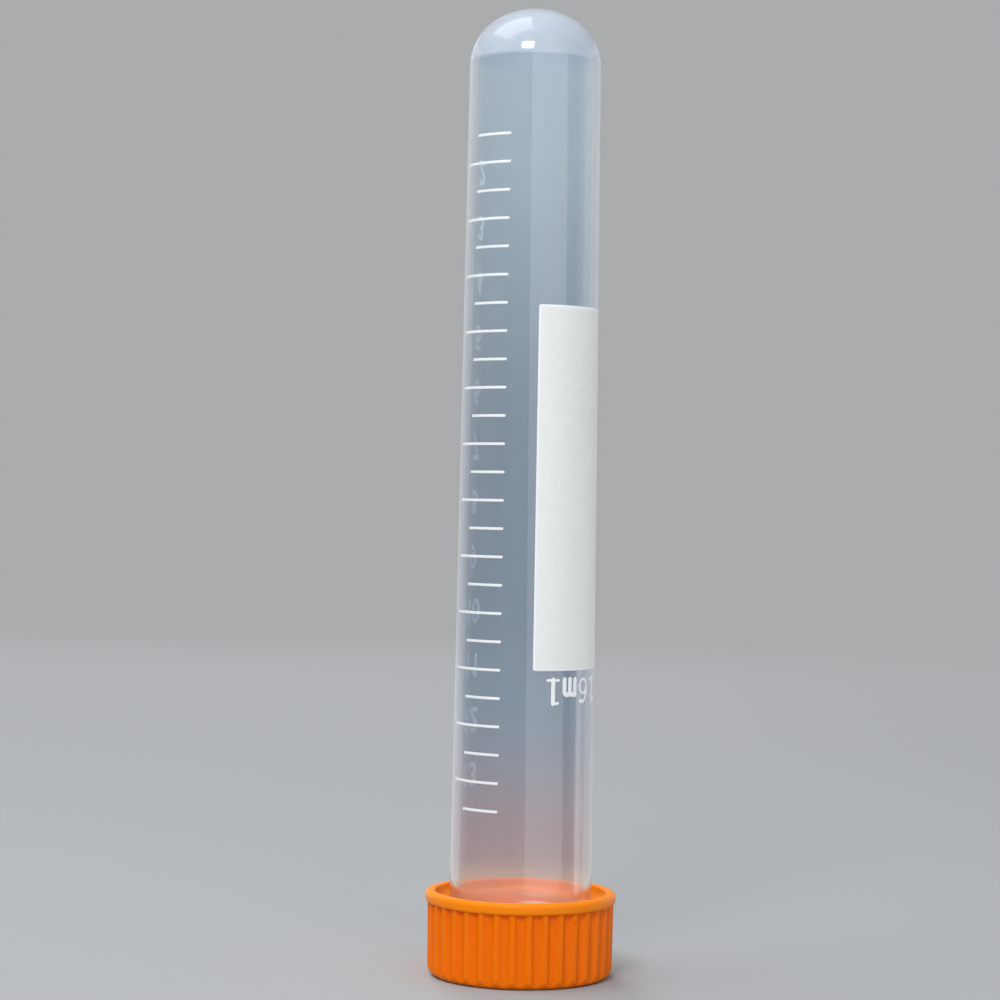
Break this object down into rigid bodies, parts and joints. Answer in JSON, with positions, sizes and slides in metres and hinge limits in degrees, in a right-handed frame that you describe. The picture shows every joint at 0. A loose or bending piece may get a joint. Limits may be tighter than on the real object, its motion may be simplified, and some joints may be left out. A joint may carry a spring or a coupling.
{
  "type": "round-bottom screw cap tube",
  "caption": "Round-bottom plastic sample tube with a ribbed screw cap, outside thread and sealing disc, stored standing on its cap.",
  "frame": {"origin": "centre of the cap's flat end face, on the axis", "axes": "+Z along the tube's axis, from the cap towards the domed end; the printed scale faces -X and -Y"},
  "size_m": [0.0222, 0.0222, 0.1131],
  "materials": {
    "tube_plastic": "glossy",
    "cap_plastic": "satin",
    "disc_plastic": "matte",
    "print_ink": "matte"
  },
  "bodies": {
    "cap": {"cap": "cap_plastic"},
    "sealing_disc": {"sealing_disc": "disc_plastic"},
    "tube": {"tube": "tube_plastic"}
  },
  "joints": [
    {"name": "tube_turn", "type": "hinge", "parent": "cap", "child": "sealing_disc", "pos_m": [0, 0, 0], "axis": [0, 0, 1], "range_deg": [0, 1080]},
    {"name": "tube_lift", "type": "slide", "parent": "sealing_disc", "child": "tube", "axis": [0, 0, 1], "range_m": [0, 0.009]}
  ],
  "couplings": [
    {"joint": "tube_lift", "follows": "tube_turn", "m_per_rad": 0.00047746}
  ]
}
